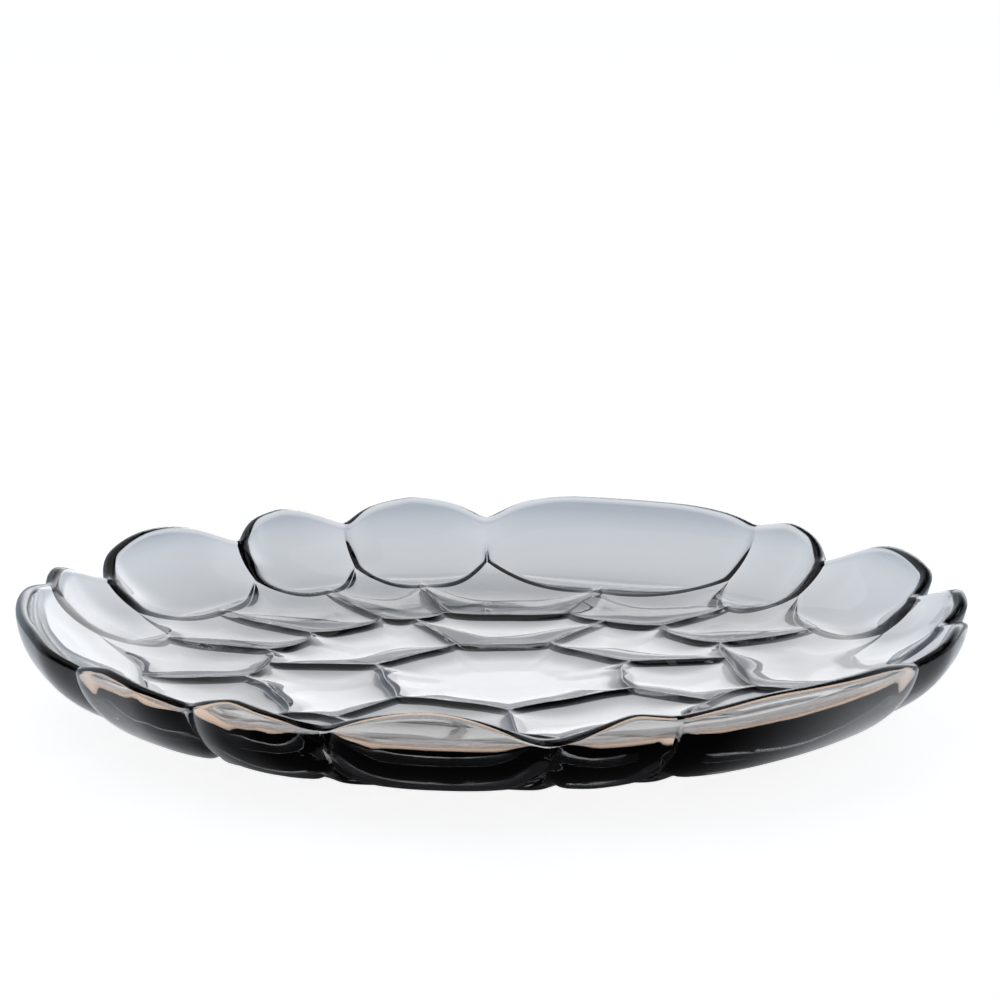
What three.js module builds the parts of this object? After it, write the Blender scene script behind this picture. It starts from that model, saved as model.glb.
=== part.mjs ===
// Glass serving platter: one shallow round dish of smoke-tinted pressed glass.
// The wall is a ring of rounded petals and the floor is rows of pebble-shaped cells. Each cell is a
// raised pad on the underside, with a groove round it, and a shallow hollow on the inside, with a ridge
// round it. It is a single piece of glass.
// Millimetres, +Z up, origin at the middle of the flat underside, where the platter rests.
import * as THREE from 'three';

// Section through the glass
const footRadius = 105; // flat middle of the underside
const wallReach = 55; // from the edge of the flat out to the lip
const wallRise = 34.2; // height at which the rounding of the lip starts
const floorThickness = 6.5;
const bowlRadius = 87; // where the inside starts to rise
const lipThickness = 4.6;
const lipRounding = 1.8; // height of the rounded lip over the wall
const lipLevel = 1.25; // quicker climb of the inside below the lip, to keep the lip level at the notches

// Relief, by distance from the seams between the cells
const grooveDepth = 1.7; // sharp groove between the pads of the underside
const grooveWidth = 4.5;
const padDome = 1.2; // rounding of the pads toward their grooves
const padWidth = 15;
const lensDome = 0.9; // further rounding of the pads of the floor
const lensWidth = 20;
const crestHeight = 0.5; // sharp crest between the hollows of the inside
const crestWidth = 4.5;
const ridgeHeight = 2.2; // slope of the hollows up to their crests
const ridgeWidth = 19;
const floorEnd = 125; // plan radius at which the floor's ridges and lenses have run out into the wall
const floorFade = 30;
const sharpness = 2.5; // power of the grooves and crests

// Notches between the petals, where the lip drops and the wall is pinched in
const notchDrops = [4, 7.3, 7.3, 8.6, 12.5]; // along the wall
const dropWidth = 34;
const notchPinches = [1.5, 6, 6, 8.5, 5];
const pinchWidth = 16.5;
const pinchStart = 126; // plan radius from which the pinch grows up to the lip
const notchRounding = 3;

// Rim petals, in thirds that are alike. Plan radii run along the underside: over the flat, then up the wall.
const thirds = 3;
const rimStart = 50.8; // degrees, first notch
const petalWidths = [40.2, 21.2, 17.6, 26.6, 14.4]; // degrees
const petalFeet = [115, 118, 120, 120, 116]; // plan radius of each petal's lower end
const petalCorner = 138; // plan radius at which two petals part

// Floor cells: the angles of the grooves between them, and the plan radii of their lower ends and corners
const outerAngles = [-17, 22, 43.5, 70, 103, 120.5, 144, 163.5, 189, 222, 240.5, 264, 283.5, 312];
const outerFoot = 79;
const outerCorner = 86;
const innerAngles = [8, 58, 113, 177, 232, 275, 328];
const innerFoot = 39;
const innerCorner = 45;
const roundness = 3; // power of the curve of each lower end
const outerShift = 0.08; // share by which a row's lower ends lie off centre
const innerShift = 0.26;
const shiftTurn = -70; // degrees, the way they lie

// Fineness of the surface
const meshStep = 11;
const undersideRings = [2.2, 5, 9]; // distances in from a groove
const insideRings = [2.4, 8];
const restInset = 26; // edge of the flat on the middle pad, on which the platter rests
const spineShare = 0.72; // the rings of a cell close in on a spine this share of its width
const leastSquare = 0.75; // of a slanted way in from the edge, counted as square to it
const deepest = 0.7; // share of the way in that the last ring keeps to
const lipSteps = 4;

const degree = Math.PI / 180;

// Quarter of an ellipse's length, to well under a hundredth of a millimetre
function quarterLength(a, b) {
  const h = ((a - b) / (a + b)) ** 2;
  return (Math.PI / 4) * (a + b) * (1 + (3 * h) / (10 + Math.sqrt(4 - 3 * h)));
}
const lipPlan = footRadius + quarterLength(wallReach, wallRise);

// An angle in 0 to 360, rounded so that equal angles compare equal
function wrap(angle) {
  return Math.round((((angle % 360) + 360) % 360) * 1e5) / 1e5;
}

const rimAngles = [];
const rimFeet = [];
const widthSum = petalWidths.reduce((sum, width) => sum + width, 0);
for (let third = 0; third < thirds; third += 1) {
  let share = 0;
  petalWidths.forEach((width, i) => {
    rimAngles.push(rimStart + (360 / thirds) * (third + share / widthSum));
    rimFeet.push(petalFeet[i]);
    share += width;
  });
}

const rows = [
  { angles: rimAngles, feet: rimFeet, corner: petalCorner, shift: 0 },
  { angles: outerAngles, feet: outerAngles.map(() => outerFoot), corner: outerCorner, shift: outerShift },
  { angles: innerAngles, feet: innerAngles.map(() => innerFoot), corner: innerCorner, shift: innerShift },
];

// The cell of a row at an angle, the degrees from the cell's start, and its width
function cellAt(row, angle) {
  const from = row.angles.map((start) => wrap(angle - start));
  const index = from.indexOf(Math.min(...from));
  const next = row.angles[(index + 1) % row.angles.length];
  return { index, before: from[index], width: wrap(next - row.angles[index]) };
}

// Lower end of a row: every cell's is a rounded U between two corners
function lowerEnd(row, angle) {
  const { index, before, width } = cellAt(row, angle);
  const across = Math.abs((2 * before) / width - 1);
  const end = row.feet[index] + (row.corner - row.feet[index]) * across ** roundness;
  return end * (1 + row.shift * Math.cos((angle - shiftTurn) * degree));
}

function falloff(distance, width, power) {
  return Math.max(0, 1 - distance / width) ** power;
}

// How deep the notches reach at an angle, blended between the notches on either side
function nearNotches(angle, radius, depths, width) {
  const sum = rimAngles.reduce((total, notch, i) => {
    const turn = wrap(angle - notch + 180) - 180;
    const arc = Math.hypot(turn * degree * radius, notchRounding) - notchRounding;
    return total + (depths[i % depths.length] * falloff(arc, width, 2)) ** 4;
  }, 0);
  return sum ** 0.25;
}

// Lip: highest along the middle of each petal, falling to the notches at its ends
function lipEnd(angle) {
  return lipPlan - nearNotches(angle, footRadius + wallReach, notchDrops, dropWidth);
}

// Plan points that neighbouring cells share
const points = [];
function addPoint(angle, radius) {
  points.push(new THREE.Vector2(radius * Math.cos(angle * degree), radius * Math.sin(angle * degree)));
  return points.length - 1;
}

// A closed line round the platter with a point at each of the given angles
function closedLine(angles, radiusAt) {
  const stops = [...new Set(angles.map(wrap))].sort((a, b) => a - b);
  const line = [];
  stops.forEach((from, i) => {
    const to = i + 1 < stops.length ? stops[i + 1] : stops[0] + 360;
    const length = (to - from) * degree * radiusAt((from + to) / 2);
    const steps = Math.max(2, Math.ceil(length / meshStep));
    for (let k = 0; k < steps; k += 1) {
      const angle = from + ((to - from) * k) / steps;
      line.push({ angle, id: addPoint(angle, radiusAt(angle)) });
    }
  });
  return line;
}

function placeOn(line, angle) {
  const gaps = line.map((stop) => Math.min(wrap(stop.angle - angle), wrap(angle - stop.angle)));
  return gaps.indexOf(Math.min(...gaps));
}

function stretch(line, from, to) {
  const last = placeOn(line, to);
  let place = placeOn(line, from);
  const ids = [line[place].id];
  while (place !== last) {
    place = (place + 1) % line.length;
    ids.push(line[place].id);
  }
  return ids;
}

function sideOf(above, below, angle) {
  const top = above[placeOn(above, angle)].id;
  const bottom = below[placeOn(below, angle)].id;
  const high = points[top].length();
  const low = points[bottom].length();
  const steps = Math.max(2, Math.ceil((high - low) / meshStep));
  const ids = [top];
  for (let k = 1; k < steps; k += 1) {
    ids.push(addPoint(angle, high + ((low - high) * k) / steps));
  }
  return [...ids, bottom];
}

function splitAt(ids, corners) {
  const pieces = [[ids[0]]];
  ids.slice(1).forEach((id, i) => {
    pieces[pieces.length - 1].push(id);
    if (corners.has(id) && i < ids.length - 2) {
      pieces.push([id]);
    }
  });
  return pieces;
}

const lines = [closedLine(rimAngles, lipEnd)];
rows.forEach((row, r) => {
  const meeting = r + 1 < rows.length ? rows[r + 1].angles : [];
  lines.push(closedLine([...row.angles, ...meeting], (angle) => lowerEnd(row, angle)));
});

// Each cell is a loop of points, anticlockwise from above, and the seams that carry its grooves
const cells = [];
rows.forEach((row, r) => {
  const above = lines[r];
  const below = lines[r + 1];
  const sides = row.angles.map((angle) => sideOf(above, below, angle));
  const corners = new Set(r > 0 ? rows[r - 1].angles.map((angle) => above[placeOn(above, angle)].id) : []);
  row.angles.forEach((from, i) => {
    const next = (i + 1) % row.angles.length;
    const outer = stretch(above, from, row.angles[next]);
    const inner = stretch(below, from, row.angles[next]);
    const back = [...inner].reverse();
    const up = [...sides[i]].reverse();
    const loop = [outer, sides[next], back, up].flatMap((ids) => ids.slice(0, -1));
    const seams = [inner, sides[i], sides[next]];
    if (r > 0) {
      seams.push(...splitAt(outer, corners));
    }
    cells.push({ loop, seams, lip: r === 0 ? outer : [] });
  });
});
const middle = lines[rows.length].map((stop) => stop.id);
cells.push({ loop: middle, seams: [[...middle, middle[0]]], lip: [], rest: true });

function distanceTo(point, ids) {
  const closest = new THREE.Vector3();
  const segment = new THREE.Line3();
  const place = new THREE.Vector3(point.x, point.y, 0);
  let least = Infinity;
  for (let k = 0; k + 1 < ids.length; k += 1) {
    segment.start.set(points[ids[k]].x, points[ids[k]].y, 0);
    segment.end.set(points[ids[k + 1]].x, points[ids[k + 1]].y, 0);
    segment.closestPointToPoint(place, true, closest);
    least = Math.min(least, closest.distanceTo(place));
  }
  return least;
}

// Distance to a cell's seams, blended so that the pad's corners come out rounded
function seamDistance(point, seams) {
  const sum = seams.reduce((total, ids) => total + (distanceTo(point, ids) + 0.001) ** -4, 0);
  return sum ** -0.25;
}

// The two sides of the glass at a plan point, pinched in at the notches, and the way through it
function sectionAt(point) {
  const radius = point.length();
  const turn = Math.atan2(point.y, point.x);
  const rise = (THREE.MathUtils.clamp((radius - footRadius) / (lipPlan - footRadius), 0, 1) * Math.PI) / 2;
  const left = THREE.MathUtils.clamp((lipPlan - radius) / (lipPlan - bowlRadius), 0, 1);
  const swing = ((1 - left * (1 + lipLevel * (1 - left) ** 4)) * Math.PI) / 2;
  const insideReach = footRadius + wallReach - lipThickness - bowlRadius;
  const outerR = Math.min(radius, footRadius) + wallReach * Math.sin(rise);
  const outerZ = wallRise * (1 - Math.cos(rise));
  const innerR = Math.min(radius, bowlRadius) + insideReach * Math.sin(swing);
  const innerZ = floorThickness + (wallRise - floorThickness) * (1 - Math.cos(swing));
  const crown = new THREE.Vector3(outerR * Math.cos(turn), outerR * Math.sin(turn), outerZ);
  const inside = new THREE.Vector3(innerR * Math.cos(turn), innerR * Math.sin(turn), innerZ);
  const through = inside.clone().sub(crown).normalize();
  const rising = THREE.MathUtils.smoothstep(radius, pinchStart, lipPlan);
  const pinch = rising * nearNotches(turn / degree, radius, notchPinches, pinchWidth);
  return {
    crown: crown.addScaledVector(through, pinch),
    inside: inside.addScaledVector(through, pinch),
    through,
    grooveShare: 1 - rising,
    floorShare: THREE.MathUtils.clamp((floorEnd - radius) / floorFade, 0, 1),
  };
}

function undersidePoint(point, distance) {
  const { crown, through, grooveShare, floorShare } = sectionAt(point);
  const groove = grooveShare * grooveDepth * falloff(distance, grooveWidth, sharpness);
  const lens = floorShare * lensDome * falloff(distance, lensWidth, 2);
  return crown.addScaledVector(through, groove + lens + padDome * falloff(distance, padWidth, 2));
}

function insidePoint(point, distance) {
  const { inside, through, floorShare } = sectionAt(point);
  const crest = crestHeight * falloff(distance, crestWidth, sharpness);
  const ridge = ridgeHeight * falloff(distance, ridgeWidth, 2);
  return inside.addScaledVector(through, floorShare * (crest + ridge));
}

const vertices = [];
const triangles = [];

function band(from, to, flip) {
  from.forEach((a, k) => {
    const b = from[(k + 1) % from.length];
    const c = to[(k + 1) % to.length];
    const d = to[k];
    triangles.push(...(flip ? [a, c, b, a, d, c] : [a, b, c, a, c, d]));
  });
}

function centroid(loop) {
  const sum = new THREE.Vector2();
  let area = 0;
  loop.forEach((id, k) => {
    const a = points[id];
    const b = points[loop[(k + 1) % loop.length]];
    const part = a.x * b.y - a.y * b.x;
    sum.addScaledVector(a, part).addScaledVector(b, part);
    area += part;
  });
  return sum.divideScalar(3 * area);
}

// Turn round the platter from the centre of a cell to a point
function turnFrom(centre, point) {
  const off = point.angle() - centre.angle();
  return Math.atan2(Math.sin(off), Math.cos(off));
}

// A point of the cell's spine, which bends round the platter; the middle cell's spine is its centre
function spinePoint(centre, turn) {
  const bent = centre.length() > innerFoot / 2;
  return centre.clone().rotateAround(new THREE.Vector2(), bent ? turn : 0);
}

// How far each loop point is from the spine, measured square to the loop
function reaches(loop, spine) {
  return loop.map((id, k) => {
    const before = points[loop[(k + loop.length - 1) % loop.length]];
    const after = points[loop[(k + 1) % loop.length]];
    const along = after.clone().sub(before).normalize();
    const ray = spine[k].clone().sub(points[id]);
    return Math.max(along.cross(ray), leastSquare * ray.length());
  });
}

// Triangles between one side of a ring and the spine, stepping along both in order of turn
function zip(side, spine, flip) {
  const half = (row, k) => (k + 1 < row.length ? (row[k].turn + row[k + 1].turn) / 2 : Infinity);
  let a = 0;
  let b = 0;
  while (a + b < side.length + spine.length - 2) {
    const onSide = half(side, a) <= half(spine, b);
    const corners = [side[a].id, onSide ? side[a + 1].id : spine[b + 1].id, spine[b].id];
    triangles.push(...(flip ? corners.reverse() : corners));
    a += onSide ? 1 : 0;
    b += onSide ? 0 : 1;
  }
}

// The stops of a ring from its first turn to its last, on one side of the spine
function sideOfRing(ring, way) {
  const turns = ring.map((stop) => stop.turn);
  const last = turns.indexOf(Math.max(...turns));
  let place = turns.indexOf(Math.min(...turns));
  const side = [ring[place]];
  while (place !== last) {
    place = (place + way + ring.length) % ring.length;
    side.push(ring[place]);
  }
  return side;
}

// One side of the glass: rings of points from each cell's edge in to its spine
function addSide(rings, pointFor, flip) {
  const base = vertices.length;
  const edge = points.map(() => 0);
  cells.forEach(({ lip, seams }) => lip.slice(1, -1).forEach((id) => {
    edge[id] = seamDistance(points[id], seams);
  }));
  points.forEach((point, id) => vertices.push(pointFor(point, edge[id])));
  cells.forEach(({ loop, seams, rest }) => {
    const insets = rest ? [...rings, restInset] : rings;
    const addVertex = (point) => vertices.push(pointFor(point, seamDistance(point, seams))) - 1;
    const centre = centroid(loop);
    const turns = loop.map((id) => spineShare * turnFrom(centre, points[id]));
    const spine = turns.map((turn) => spinePoint(centre, turn));
    const reach = reaches(loop, spine).map((value) => Math.max(value, insets[insets.length - 1] / deepest));
    let previous = loop.map((id) => base + id);
    insets.forEach((inward) => {
      const outline = loop.map((id, k) => spine[k].clone().lerp(points[id], 1 - inward / reach[k]));
      const current = outline.map(addVertex);
      band(previous, current, flip);
      previous = current;
    });
    const ring = previous.map((id, k) => ({ id, turn: turns[k] }));
    const start = Math.min(...turns);
    const length = centre.distanceTo(spinePoint(centre, start)) * 2;
    const steps = Math.ceil(length / meshStep);
    const stops = [];
    for (let k = 0; k <= steps; k += 1) {
      const turn = steps ? start + ((Math.max(...turns) - start) * k) / steps : 0;
      stops.push({ turn, id: addVertex(spinePoint(centre, turn)) });
    }
    zip(sideOfRing(ring, 1), stops, flip);
    zip(sideOfRing(ring, -1), stops, !flip);
  });
  return lines[0].map((stop) => base + stop.id);
}

const underLip = addSide(undersideRings, undersidePoint, true);
const insideLip = addSide(insideRings, insidePoint, false);

// Rounded lip from the underside over to the inside
let lipRow = underLip;
for (let step = 1; step < lipSteps; step += 1) {
  const swing = (Math.PI * step) / lipSteps;
  const row = underLip.map((id, k) => {
    const point = vertices[id].clone().lerp(vertices[insideLip[k]], (1 - Math.cos(swing)) / 2);
    point.z += lipRounding * Math.sin(swing);
    return vertices.push(point) - 1;
  });
  band(lipRow, row, false);
  lipRow = row;
}
band(lipRow, insideLip, false);

const geometry = new THREE.BufferGeometry().setFromPoints(vertices);
geometry.setIndex(triangles);
geometry.computeVertexNormals();

const smokeGlass = new THREE.MeshStandardMaterial({
  color: 0x8d9298,
  roughness: 0.04,
  metalness: 0,
  transparent: true,
  opacity: 0.45,
});

const glassPlatter = new THREE.Mesh(geometry, smokeGlass);
glassPlatter.name = 'glass_platter';

const platter = new THREE.Group();
platter.add(glassPlatter);

export default platter;
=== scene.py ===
import math
import bpy
import numpy as np
from mathutils import Matrix, Vector


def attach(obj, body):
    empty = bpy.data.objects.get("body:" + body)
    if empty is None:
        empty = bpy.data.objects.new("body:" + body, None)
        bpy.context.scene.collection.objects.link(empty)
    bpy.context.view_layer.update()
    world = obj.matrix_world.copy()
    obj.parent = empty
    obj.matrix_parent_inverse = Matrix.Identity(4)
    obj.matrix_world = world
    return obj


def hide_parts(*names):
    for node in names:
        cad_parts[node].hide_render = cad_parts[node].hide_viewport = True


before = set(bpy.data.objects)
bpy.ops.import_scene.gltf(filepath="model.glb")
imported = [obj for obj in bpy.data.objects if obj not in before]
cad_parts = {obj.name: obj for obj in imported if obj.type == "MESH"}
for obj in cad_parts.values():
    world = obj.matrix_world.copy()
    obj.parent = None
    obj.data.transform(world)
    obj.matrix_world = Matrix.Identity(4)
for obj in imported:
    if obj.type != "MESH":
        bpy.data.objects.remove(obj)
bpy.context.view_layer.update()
print("frame loaded, nodes:", list(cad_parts))

millimetre = 0.001

# the pressed glass, in mm and degrees; plan radii run along the underside, over the flat and up the wall
platter = {
    "footRadius": 105.0,  # section
    "wallReach": 55.0,
    "wallRise": 34.2,
    "floorThickness": 6.5,
    "bowlRadius": 87.0,
    "lipThickness": 4.6,
    "lipRounding": 1.8,
    "lipLevel": 1.25,
    "grooveDepth": 1.7,  # relief along the seams
    "grooveWidth": 4.5,
    "padDome": 1.2,
    "padWidth": 15.0,
    "lensDome": 0.9,
    "lensWidth": 20.0,
    "crestHeight": 0.5,
    "crestWidth": 4.5,
    "ridgeHeight": 2.2,
    "ridgeWidth": 19.0,
    "floorEnd": 125.0,
    "floorFade": 30.0,
    "sharpness": 2.5,
    "notchDrops": [4.0, 7.3, 7.3, 8.6, 12.5],  # rim, a third of it with five petals
    "dropWidth": 34.0,
    "notchPinches": [1.5, 6.0, 6.0, 8.5, 5.0],
    "pinchWidth": 16.5,
    "pinchStart": 126.0,
    "notchRounding": 3.0,
    "rimStart": 50.8,
    "petalWidths": [40.2, 21.2, 17.6, 26.6, 14.4],
    "petalFeet": [115.0, 118.0, 120.0, 120.0, 116.0],
    "petalCorner": 138.0,
    "thirds": 3,
    "outerAngles": [-17, 22, 43.5, 70, 103, 120.5, 144, 163.5, 189, 222, 240.5, 264, 283.5, 312],  # floor
    "outerFoot": 79.0,
    "outerCorner": 86.0,
    "outerShift": 0.08,
    "innerAngles": [8, 58, 113, 177, 232, 275, 328],
    "innerFoot": 39.0,
    "innerCorner": 45.0,
    "innerShift": 0.26,
    "shiftTurn": -70.0,
    "roundness": 3.0,
    "blendPower": 4.0,
    "step": 2.4,  # mesh
    "finePoints": 200,
    "rings": [0.3, 0.8, 1.5, 2.4, 3.5, 4.8, 6.4, 8.4, 11.0, 14.5, 19.0],
    "closing": [0.66, 0.33],
    "spineShare": 0.72,
    "leastSquare": 0.7,
    "deepest": 0.72,
    "cornerReach": 8.0,
    "cornerSoft": 6.0,
    "lipSteps": 8,
}


def quarterLength(a, b):
    # quarter of an ellipse's length: pi/4 (a + b) (1 + 3h / (10 + root of 4 - 3h))
    h = ((a - b) / (a + b)) ** 2
    return math.pi / 4 * (a + b) * (1 + 3 * h / (10 + math.sqrt(4 - 3 * h)))


lipRadius = platter["footRadius"] + platter["wallReach"]
lipPlan = platter["footRadius"] + quarterLength(platter["wallReach"], platter["wallRise"])


def rimRow():
    # like thirds of five petals
    widths = np.tile(platter["petalWidths"], platter["thirds"])
    angles = platter["rimStart"] + np.concatenate([[0.0], np.cumsum(widths)[:-1]]) * 360 / widths.sum()
    feet = np.tile(platter["petalFeet"], platter["thirds"])
    return {"angles": angles, "feet": feet, "corner": platter["petalCorner"], "shift": 0.0}


def floorRow(name):
    angles = np.array(platter[name + "Angles"], float)
    feet = np.full(len(angles), platter[name + "Foot"])
    corner, shift = platter[name + "Corner"], platter[name + "Shift"]
    return {"angles": angles, "feet": feet, "corner": corner, "shift": shift}


rows = [rimRow(), floorRow("outer"), floorRow("inner")]


def across(row, angle):
    # the cell of a row at each angle, the degrees from its start, and its width
    gaps = np.mod(np.round(angle[:, None] - row["angles"][None, :], 6), 360)
    index = np.argmin(gaps, axis=1)
    widths = np.mod(np.roll(row["angles"], -1) - row["angles"], 360)
    return index, gaps[np.arange(len(angle)), index], widths[index]


def lowerEnd(row, angle):
    # each cell's lower end is a rounded U between two corners: foot + rise * |across| ^ roundness
    index, before, width = across(row, angle)
    foot = row["feet"][index]
    end = foot + (row["corner"] - foot) * np.abs(2 * before / width - 1) ** platter["roundness"]
    return end * (1 + row["shift"] * np.cos(np.radians(angle - platter["shiftTurn"])))


def falloff(distance, width, power):
    # (1 - distance / width) ^ power, and 0 past the width
    return np.clip(1 - distance / width, 0, None) ** power


def nearNotches(angle, radius, depths, width):
    # how deep the notches reach at a plan point: depth * (1 - arc / width)^2, blended over all the notches
    arcs = np.radians(np.mod(angle[:, None] - rows[0]["angles"] + 180, 360) - 180) * radius
    arcs = np.hypot(arcs, platter["notchRounding"]) - platter["notchRounding"]
    reach = np.tile(depths, platter["thirds"]) * falloff(arcs, width, 2)
    return (reach ** platter["blendPower"]).sum(axis=1) ** (1 / platter["blendPower"])


def lipEnd(angle):
    # the lip is highest along the middle of a petal and falls to the notches at its ends
    return lipPlan - nearNotches(angle, lipRadius, platter["notchDrops"], platter["dropWidth"])


planParts = []


def addPlan(angle, radius):
    first = sum(len(part) for part in planParts)
    turn = np.radians(angle)
    planParts.append(np.stack([radius * np.cos(turn), radius * np.sin(turn)], axis=1))
    return np.arange(first, first + len(angle))


def closedLine(stops, radiusAt):
    # a line round the platter with a point at each stop and even steps between them
    stops = np.unique(np.round(np.mod(stops, 360), 5))
    angles = []
    for start, end in zip(stops, np.append(stops[1:], stops[0] + 360)):
        fine = np.linspace(start, end, platter["finePoints"])
        reach = radiusAt(fine)
        path = np.stack([reach * np.cos(np.radians(fine)), reach * np.sin(np.radians(fine))], axis=1)
        length = np.append(0, np.cumsum(np.linalg.norm(np.diff(path, axis=0), axis=1)))
        steps = max(2, math.ceil(length[-1] / platter["step"]))
        angles.append(np.interp(np.arange(steps) * length[-1] / steps, length, fine))
    angles = np.concatenate(angles)
    return {"angle": np.mod(angles, 360), "id": addPlan(angles, radiusAt(angles))}


def placeOn(line, angle):
    return int(np.argmin(np.abs(np.mod(line["angle"] - angle + 180, 360) - 180)))


def stretch(line, start, end):
    first, last, count = placeOn(line, start), placeOn(line, end), len(line["id"])
    return line["id"][np.arange(first, last + 1 + (count if last <= first else 0)) % count]


def radiusOf(ids):
    return np.linalg.norm(np.concatenate(planParts)[ids], axis=-1)


def sideOf(above, below, angle):
    top, bottom = above["id"][placeOn(above, angle)], below["id"][placeOn(below, angle)]
    high, low = radiusOf(top), radiusOf(bottom)
    steps = max(2, math.ceil((high - low) / platter["step"]))
    radii = np.linspace(high, low, steps + 1)[1:-1]
    return np.concatenate([[top], addPlan(np.full(len(radii), angle), radii), [bottom]])


def makeCells():
    # every cell is a loop of shared points, anticlockwise from above, and the seams that carry its relief
    lines = [closedLine(rows[0]["angles"], lipEnd)]
    for r, row in enumerate(rows):
        meeting = rows[r + 1]["angles"] if r + 1 < len(rows) else []
        stops = np.append(row["angles"], meeting)
        lines.append(closedLine(stops, lambda angle, row=row: lowerEnd(row, angle)))
    cells = []
    for r, row in enumerate(rows):
        above, below = lines[r], lines[r + 1]
        sides = [sideOf(above, below, angle) for angle in row["angles"]]
        corners = [above["id"][placeOn(above, angle)] for angle in rows[r - 1]["angles"]] if r else []
        for i, start in enumerate(row["angles"]):
            n = (i + 1) % len(row["angles"])
            outer = stretch(above, start, row["angles"][n])
            inner = stretch(below, start, row["angles"][n])
            loop = np.concatenate([outer[:-1], sides[n][:-1], inner[::-1][:-1], sides[i][::-1][:-1]])
            seams = [inner, sides[i], sides[n]]
            if r:
                cuts = [k for k in np.flatnonzero(np.isin(outer, corners)) if 0 < k < len(outer) - 1]
                for a, b in zip([0] + cuts, cuts + [len(outer) - 1]):
                    seams.append(outer[a:b + 1])
            cells.append({"loop": loop, "seams": seams, "lip": outer[1:-1] if r == 0 else outer[:0]})
    middle = lines[-1]["id"]
    cells.append({"loop": middle, "seams": [np.append(middle, middle[0])], "lip": middle[:0]})
    return cells, lines[0]["id"]


def seamDistance(points, seams, plan):
    # distance to every seam, blended as (sum of distance ^ -power) ^ (-1 / power) to round the pads' corners
    total = np.zeros(len(points))
    for seam in seams:
        start, along = plan[seam[:-1]][None], np.diff(plan[seam], axis=0)[None]
        offset = points[:, None] - start
        share = np.clip((offset * along).sum(-1) / np.maximum((along * along).sum(-1), 1e-12), 0, 1)
        near = np.linalg.norm(offset - share[..., None] * along, axis=-1).min(axis=1)
        total += (near + 1e-3) ** -platter["blendPower"]
    return total ** (-1 / platter["blendPower"])


def softened(values, count):
    # running mean round a loop
    if count < 1:
        return values
    padded = np.concatenate([values[-count:], values, values[:count]])
    kernel = np.ones(2 * count + 1) / (2 * count + 1)
    columns = [np.convolve(padded[:, k], kernel, "valid") for k in range(padded.shape[1])]
    return np.stack(columns, axis=1)


def turned(point, turn):
    cosine, sine = np.cos(turn), np.sin(turn)
    return np.stack([point[0] * cosine - point[1] * sine, point[0] * sine + point[1] * cosine], axis=1)


def cellGrid(cell, plan):
    # rings of a loop closing in on the cell's spine, an arc round the dish: spine + share * (loop - spine),
    # where the share falls with the distance from the edge
    edge = plan[cell["loop"]]
    after, before = np.roll(edge, -1, axis=0), np.roll(edge, 1, axis=0)
    part = edge[:, 0] * after[:, 1] - edge[:, 1] * after[:, 0]
    centre = ((edge + after) * part[:, None]).sum(axis=0) / (3 * part.sum())
    turn = np.arctan2(edge[:, 1], edge[:, 0]) - math.atan2(centre[1], centre[0])
    turn = np.arctan2(np.sin(turn), np.cos(turn)) * platter["spineShare"]
    bent = np.linalg.norm(centre) > platter["innerFoot"] / 2
    spine = turned(centre, turn * bent)
    ray = spine - edge
    length = np.linalg.norm(ray, axis=1)
    tangent = (after - before) / np.linalg.norm(after - before, axis=1)[:, None]
    square = (tangent[:, 0] * ray[:, 1] - tangent[:, 1] * ray[:, 0]) / length
    square = np.clip(square, platter["leastSquare"], 1) * length
    count = int(platter["cornerReach"] / platter["step"])
    inward = np.array(platter["rings"])
    reach = np.maximum(softened(square[:, None], count)[:, 0], inward[-1] / platter["deepest"])
    shares = 1 - inward[:, None] / reach[None]
    shares = np.concatenate([shares, shares[-1] * np.array(platter["closing"])[:, None]])
    blend = np.append(np.minimum(1, inward / platter["cornerSoft"]), np.ones(len(platter["closing"])))
    rounded = softened(softened(edge, count), count)
    target = (1 - blend)[:, None, None] * edge[None] + blend[:, None, None] * rounded[None]
    grid = spine[None] + shares[..., None] * (target - spine[None])
    steps = math.ceil(np.ptp(turn) * np.linalg.norm(centre) / platter["step"]) if bent else 0
    stops = np.linspace(turn.min(), turn.max(), steps + 1)
    return grid, turn, turned(centre, stops * bent), stops


def zipped(side, sideTurn, spine, spineTurn):
    # triangles between one side of a ring and the cell's spine, stepping along both in order of turn
    halves = [(turn[1:] + turn[:-1]) / 2 for turn in (sideTurn, spineTurn)]
    onSide = np.argsort(np.concatenate(halves), kind="stable") < len(halves[0])
    a, b = np.cumsum(onSide), np.cumsum(~onSide)
    alongSide = np.stack([side[a - 1], side[a], spine[b]], axis=1)
    alongSpine = np.stack([side[a], spine[b], spine[b - 1]], axis=1)
    return np.where(onSide[:, None], alongSide, alongSpine)


def closeRing(ring, turn, spine, spineTurn):
    first, last = np.argmin(turn), np.argmax(turn)
    outer = (first + np.arange((last - first) % len(ring) + 1)) % len(ring)
    inner = (first - np.arange((first - last) % len(ring) + 1)) % len(ring)
    above = zipped(ring[outer], turn[outer], spine, spineTurn)
    below = zipped(ring[inner], turn[inner], spine, spineTurn)
    return np.concatenate([above, below[:, ::-1]])


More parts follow.
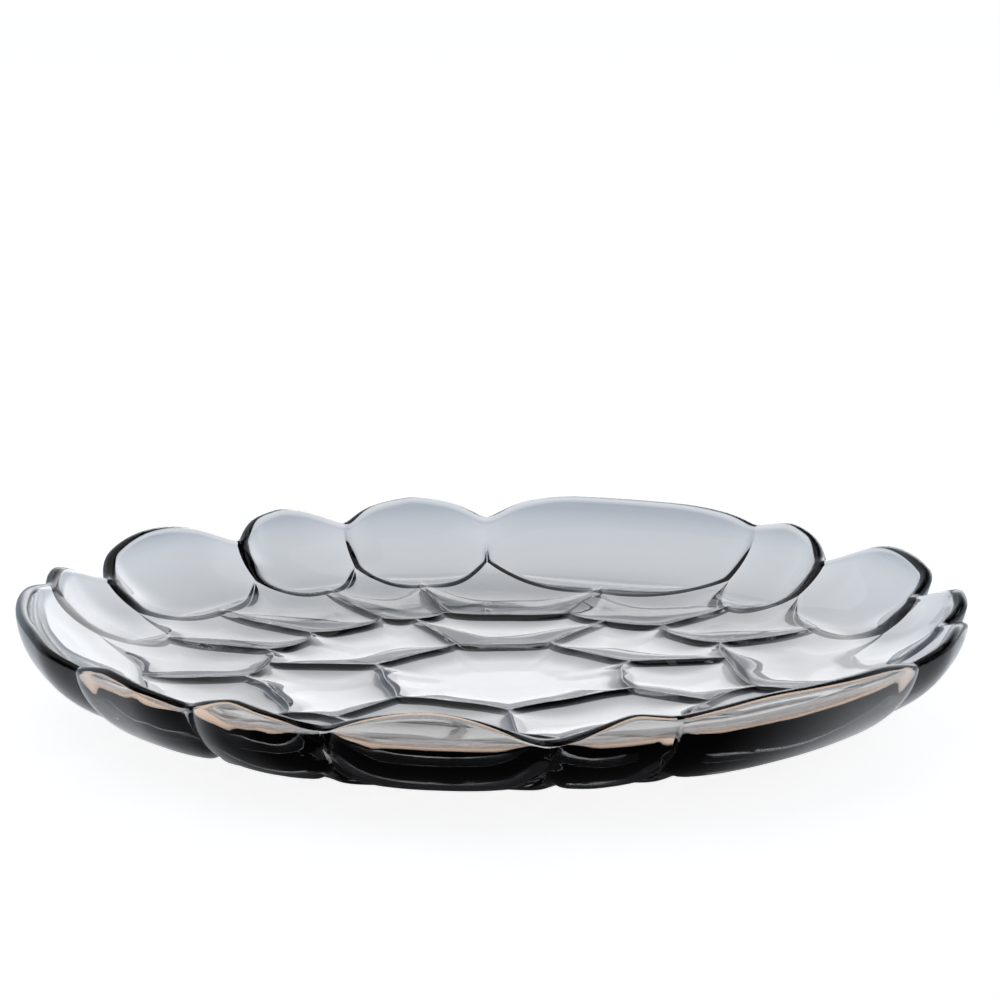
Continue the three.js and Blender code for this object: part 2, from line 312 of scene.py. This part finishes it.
def section(points):
    # the glass's two sides over a plan point: elliptical wall outside, wider and flatter bowl inside,
    # both moved in at the notches; also the way through the glass, and how far the relief fades
    radius = np.linalg.norm(points, axis=1)
    way = points / np.maximum(radius, 1e-9)[:, None]
    foot, bowl = platter["footRadius"], platter["bowlRadius"]
    rise = np.clip((radius - foot) / (lipPlan - foot), 0, 1) * math.pi / 2
    left = np.clip((lipPlan - radius) / (lipPlan - bowl), 0, 1)
    swing = (1 - left * (1 + platter["lipLevel"] * (1 - left) ** 4)) * math.pi / 2
    outerR = np.minimum(radius, foot) + platter["wallReach"] * np.sin(rise)
    outerZ = platter["wallRise"] * (1 - np.cos(rise))
    bowlReach = lipRadius - platter["lipThickness"] - bowl
    bowlRise = platter["wallRise"] - platter["floorThickness"]
    innerR = np.minimum(radius, bowl) + bowlReach * np.sin(swing)
    innerZ = platter["floorThickness"] + bowlRise * (1 - np.cos(swing))
    crown = np.concatenate([way * outerR[:, None], outerZ[:, None]], axis=1)
    inside = np.concatenate([way * innerR[:, None], innerZ[:, None]], axis=1)
    through = (inside - crown) / np.linalg.norm(inside - crown, axis=1)[:, None]
    angle = np.degrees(np.arctan2(points[:, 1], points[:, 0]))
    pinch = nearNotches(angle, radius[:, None], platter["notchPinches"], platter["pinchWidth"])
    rising = np.clip((radius - platter["pinchStart"]) / (lipPlan - platter["pinchStart"]), 0, 1)
    rising = rising * rising * (3 - 2 * rising)
    pinch = through * (pinch * rising)[:, None]
    flat = np.clip((platter["floorEnd"] - radius) / platter["floorFade"], 0, 1)
    return crown + pinch, inside + pinch, through, 1 - rising, flat


def relief(points, distance):
    # grooves cut into the underside, ridges raised on the inside, both falling off away from the seams
    crown, inside, through, fading, flat = section(points)
    sharp = platter["sharpness"]
    groove = fading * platter["grooveDepth"] * falloff(distance, platter["grooveWidth"], sharp)
    groove = groove + platter["padDome"] * falloff(distance, platter["padWidth"], 2)
    groove = groove + flat * platter["lensDome"] * falloff(distance, platter["lensWidth"], 2)
    ridge = platter["crestHeight"] * falloff(distance, platter["crestWidth"], sharp)
    ridge = ridge + platter["ridgeHeight"] * falloff(distance, platter["ridgeWidth"], 2)
    return crown + through * groove[:, None], inside + through * (flat * ridge)[:, None]


def band(first, second):
    return np.stack([first, np.roll(first, -1), np.roll(second, -1), second], axis=1)


def makePlatter():
    # underside and inside share one plan of cells; the lip closes them with a rounded strip
    cells, lip = makeCells()
    plan = np.concatenate(planParts)
    points, distances, quads, closings = [plan], [np.zeros(len(plan))], [], []
    count = len(plan)
    for cell in cells:
        if len(cell["lip"]):
            distances[0][cell["lip"]] = seamDistance(plan[cell["lip"]], cell["seams"], plan)
        grid, turn, spine, stops = cellGrid(cell, plan)
        flat = np.concatenate([grid.reshape(-1, 2), spine])
        points.append(flat)
        distances.append(seamDistance(flat, cell["seams"], plan))
        made = np.arange(count, count + len(flat))
        ids = np.concatenate([cell["loop"][None], made[:-len(spine)].reshape(grid.shape[:2])])
        quads.extend(band(ids[k], ids[k + 1]) for k in range(len(ids) - 1))
        closings.append(closeRing(ids[-1], turn, made[-len(spine):], stops))
        count += len(flat)
    under, upper = relief(np.concatenate(points), np.concatenate(distances))
    swing = np.linspace(0, math.pi, platter["lipSteps"] + 1)[1:-1, None, None]
    strip = under[lip] + (upper[lip] - under[lip]) * (1 - np.cos(swing)) / 2
    strip = strip + np.sin(swing) * np.array([0, 0, platter["lipRounding"]])
    vertices = np.concatenate([under, upper, strip.reshape(-1, 3)]) * millimetre
    quads, closings = np.concatenate(quads), np.concatenate(closings)
    stripIds = 2 * count + np.arange(strip.shape[0] * len(lip)).reshape(-1, len(lip))
    lipIds = np.concatenate([lip[None], stripIds, lip[None] + count])
    lipQuads = np.concatenate([band(lipIds[k], lipIds[k + 1]) for k in range(len(lipIds) - 1)])
    faces = quads[:, ::-1].tolist() + (quads + count).tolist() + lipQuads.tolist()
    faces += closings[:, ::-1].tolist() + (closings + count).tolist()
    mesh = bpy.data.meshes.new("platterGlass")
    mesh.from_pydata(vertices, [], faces)
    mesh.polygons.foreach_set("use_smooth", np.ones(len(mesh.polygons), bool))
    mesh.update()
    piece = bpy.data.objects.new("platterGlass", mesh)
    bpy.context.collection.objects.link(piece)
    return piece


class Value:
    # a node socket that takes part in sums; a Math node is added for each operation
    def __init__(self, tree, socket):
        self.tree, self.socket = tree, socket

    def node(self, kind, settings=None, inputs=None, output=0):
        made = self.tree.nodes.new(kind)
        for key, setting in (settings or {}).items():
            setattr(made, key, setting)
        for key, value in (inputs or {}).items():
            if isinstance(value, Value):
                self.tree.links.new(value.socket, made.inputs[key])
            else:
                made.inputs[key].default_value = value
        return Value(self.tree, made.outputs[output]) if made.outputs else None

    def maths(self, operation, first, second):
        return self.node("ShaderNodeMath", {"operation": operation}, {0: first, 1: second})

    def __add__(self, other):
        return self.maths("ADD", self, other)

    def __radd__(self, other):
        return self.maths("ADD", other, self)

    def __sub__(self, other):
        return self.maths("SUBTRACT", self, other)

    def __rsub__(self, other):
        return self.maths("SUBTRACT", other, self)

    def __mul__(self, other):
        return self.maths("MULTIPLY", self, other)

    def __rmul__(self, other):
        return self.maths("MULTIPLY", other, self)

    def over(self, low, high):
        # 0 below low, 1 above high, smooth between
        smooth = {"interpolation_type": "SMOOTHSTEP"}
        return self.node("ShaderNodeMapRange", smooth, {0: self, 1: low, 2: high})

    def mixed(self, first, second):
        # the first colour at 0, the second at 1
        return self.node("ShaderNodeMix", {"data_type": "RGBA"}, {0: self, 6: first, 7: second}, 2)


def newTree(owner):
    owner.use_nodes = True
    owner.node_tree.nodes.clear()
    return Value(owner.node_tree, None)


# tint and density give the absorption per metre; waves and haze are noise, by scale and detail
smokeGlass = {
    "ior": 1.52,
    "tint": (0.5, 0.5, 0.5, 1),
    "density": 85.0,
    "waveScale": 40.0,
    "waveDetail": 1.0,
    "waveDepth": 0.00012,
    "hazeScale": 23.0,
    "hazeDetail": 4.0,
    "hazeRange": (0.5, 0.75),
    "polish": 0.004,
    "hazeRoughness": 0.016,
}


def glassMaterial():
    # polished pressed glass: smoke tint by absorption, faint mould waviness, faint wiping haze
    glass = smokeGlass
    material = bpy.data.materials.new("smokeGlass")
    tree = newTree(material)
    place = tree.node("ShaderNodeTexCoord", output=3)
    waveInputs = {"Vector": place, "Scale": glass["waveScale"], "Detail": glass["waveDetail"]}
    wave = tree.node("ShaderNodeTexNoise", None, waveInputs)
    hazeInputs = {"Vector": place, "Scale": glass["hazeScale"], "Detail": glass["hazeDetail"]}
    haze = tree.node("ShaderNodeTexNoise", None, hazeInputs)
    bumpInputs = {"Strength": 1.0, "Distance": glass["waveDepth"], "Height": wave}
    surface = tree.node("ShaderNodeBsdfPrincipled", None, {
        "Base Color": (1, 1, 1, 1),
        "Roughness": glass["polish"] + glass["hazeRoughness"] * haze.over(*glass["hazeRange"]),
        "IOR": glass["ior"],
        "Transmission Weight": 1.0,
        "Normal": tree.node("ShaderNodeBump", None, bumpInputs),
    })
    bodyInputs = {"Color": glass["tint"], "Density": glass["density"]}
    body = tree.node("ShaderNodeVolumeAbsorption", None, bodyInputs)
    tree.node("ShaderNodeOutputMaterial", None, {"Surface": surface, "Volume": body})
    return material


piece = makePlatter()
piece.data.materials.append(glassMaterial())
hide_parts("glass_platter")
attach(piece, "root")
print("platter made, triangles:", sum(len(p.vertices) - 2 for p in piece.data.polygons))

# the table, in metres: paper to the camera, and to the glass a grey painted shade under the dish and pale
# round it, with a painted shadow and a painted warm glow in front; each range is where one tone gives way to
# the next, by distance from the middle
table = {
    "halfSize": 4.0,
    "level": -0.0003,
    "plain": (0.9, 0.9, 0.9, 1),
    "paper": (0.83, 0.83, 0.83, 1),
    # painted shade: the grey that the glass sees under the dish stands in for the dish's shadow there
    "under": (0.46, 0.46, 0.47, 1),
    "near": (0.88, 0.92, 0.97, 1),
    "far": (0.50, 0.56, 0.64, 1),
    # painted shade: near black, standing in for the dish's shadow in front of and under its wall
    "paintedShade": (0.02, 0.02, 0.022, 1),
    # painted warm glow, brighter than white, seen only in light mirrored inside the glass
    "warmGlow": (1.25, 0.95, 0.76, 1),
    "black": (0, 0, 0, 1),
    "shadeUnderRange": (0.10, 0.17),
    "farRange": (0.16, 0.32),
    "paintedShadeRange": (0.10, 0.12),
    "warmGlowRange": (0.134, 0.142),
    "frontRange": (-0.03, 0.03),
    "paintedShadeSpread": 0.7,
    "lobeSpread": 0.35,
}


def makeTable():
    # to the camera, paper with the dish's shadow; to the glass, the tones above, with a near black painted
    # shadow where its outside mirrors the front, and painted shade and a painted warm glow where the front
    # is mirrored inside it
    size, level = table["halfSize"], table["level"]
    corners = [(-size, -size, level), (size, -size, level), (size, size, level), (-size, size, level)]
    mesh = bpy.data.meshes.new("floor")
    mesh.from_pydata(corners, [], [(0, 1, 2, 3)])
    floor = bpy.data.objects.new("floor", mesh)
    bpy.context.collection.objects.link(floor)
    material = bpy.data.materials.new("floor")
    tree = newTree(material)
    place = tree.node("ShaderNodeTexCoord", output=3)
    sight = tree.node("ShaderNodeLightPath").socket.node.outputs
    camera = Value(tree.tree, sight["Is Camera Ray"])
    through = Value(tree.tree, sight["Is Transmission Ray"])
    shown = tree.maths("MINIMUM", Value(tree.tree, sight["Is Glossy Ray"]) + through, 1.0)
    bounced = through * Value(tree.tree, sight["Glossy Depth"]).over(0, 1)
    away = tree.node("ShaderNodeVectorMath", {"operation": "LENGTH"}, {0: place}, 1)
    depth = tree.node("ShaderNodeSeparateXYZ", None, {0: place}, 1)
    paintedShadeSide = 1 - (depth + table["paintedShadeSpread"] * away).over(*table["frontRange"])
    lobeSide = 1 - (depth + table["lobeSpread"] * away).over(*table["frontRange"])
    around = away.over(*table["farRange"]).mixed(table["near"], table["far"])
    # painted shade: grey under the dish, giving way to the pale tones round it
    tone = away.over(*table["shadeUnderRange"]).mixed(table["under"], around)
    # painted shade inside the warm range and a painted warm glow beyond it, for light mirrored inside the
    # glass in front
    lobeShadeAndGlow = away.over(*table["warmGlowRange"]).mixed(table["paintedShade"], table["warmGlow"])
    tone = (bounced * lobeSide).mixed(tone, lobeShadeAndGlow)
    # painted shadow: near black in front where the glass's outside mirrors the table
    mirrored = (1 - through) * paintedShadeSide * away.over(*table["paintedShadeRange"])
    tone = mirrored.mixed(tone, table["paintedShade"])
    colour = camera.mixed(shown.mixed(table["black"], tone), table["paper"])
    glow = tree.node("ShaderNodeEmission", None, {"Color": colour, "Strength": 1.0})
    plain = tree.node("ShaderNodeBsdfDiffuse", None, {"Color": table["plain"]})
    shadowed = tree.node("ShaderNodeMixShader", None, {0: shown, 1: plain})
    look = tree.node("ShaderNodeAddShader", None, {0: shadowed, 1: glow})
    tree.node("ShaderNodeOutputMaterial", None, {"Surface": look})
    mesh.materials.append(material)


# the room, by direction: each range is a share of the unit vector to the back, up or right
room = {
    "backdrop": (0.50, 0.56, 0.64, 1),
    "ceiling": (0.03, 0.03, 0.035, 1),
    "window": (2.1, 2.14, 2.2, 1),
    "white": (1, 1, 1, 1),
    "backRange": (-0.4, 0.2),
    "ceilingRange": (0.5, 0.75),
    "windowBack": (0.5, 0.85),
    "windowSide": (-0.3, 0.0),
    "windowFoot": (0.02, 0.15),
    "windowHead": (0.32, 0.62),
}


def makeRoom():
    # white to the camera; to the glass a grey backdrop with a soft window, dark in front and overhead
    world = bpy.data.worlds.new("studio")
    bpy.context.scene.world = world
    tree = newTree(world)
    sight = tree.node("ShaderNodeLightPath").socket.node.outputs
    camera = Value(tree.tree, sight["Is Camera Ray"])
    way = tree.node("ShaderNodeTexCoord")
    right, back, up = (tree.node("ShaderNodeSeparateXYZ", None, {0: way}, k) for k in range(3))
    wall = back.over(*room["backRange"]) * (1 - up.over(*room["ceilingRange"]))
    tone = wall.mixed(room["ceiling"], room["backdrop"])
    pane = back.over(*room["windowBack"]) * right.over(*room["windowSide"])
    pane = pane * up.over(*room["windowFoot"]) * (1 - up.over(*room["windowHead"]))
    tone = pane.mixed(tone, room["window"])
    colour = camera.mixed(tone, room["white"])
    sky = tree.node("ShaderNodeBackground", None, {"Color": colour, "Strength": 1.0})
    tree.node("ShaderNodeOutputWorld", None, {"Surface": sky})


makeTable()
makeRoom()

softbox = {"place": (-0.5, 0.6, 1.6), "size": (2.0, 2.0), "power": 4.0}
data = bpy.data.lights.new("softbox", "AREA")
data.shape = "RECTANGLE"
data.size, data.size_y = softbox["size"]
data.energy = softbox["power"]
light = bpy.data.objects.new("softbox", data)
light.location = softbox["place"]
light.rotation_euler = (-Vector(softbox["place"])).to_track_quat("-Z", "Y").to_euler()
bpy.context.collection.objects.link(light)
print("table, room and softbox made")

# camera fitted to the photo's rim ellipse; aimed a little above the platter, which sits low in the frame
shot = {
    "target": (0, 0, 0.0175),
    "distance": 1.1,
    "elevation": 14.25,
    "lens": 116.6,
    "sensor": 36.0,
    "nearest": 0.01,
    "up": 2.51,
    "right": 0.118,
}
elevation = math.radians(shot["elevation"])
target = Vector(shot["target"])
place = target + shot["distance"] * Vector((0, -math.cos(elevation), math.sin(elevation)))
turn = (target - place).to_track_quat("-Z", "Y").to_matrix().to_4x4()
turn = turn @ Matrix.Rotation(math.radians(shot["up"]), 4, "X")
turn = turn @ Matrix.Rotation(-math.radians(shot["right"]), 4, "Y")
lens = bpy.data.cameras.new("camera")
lens.sensor_width, lens.lens, lens.clip_start = shot["sensor"], shot["lens"], shot["nearest"]
camera = bpy.data.objects.new("camera", lens)
camera.matrix_world = Matrix.Translation(place) @ turn
bpy.context.collection.objects.link(camera)
bpy.context.scene.camera = camera
bpy.context.scene.view_settings.view_transform = "Standard"
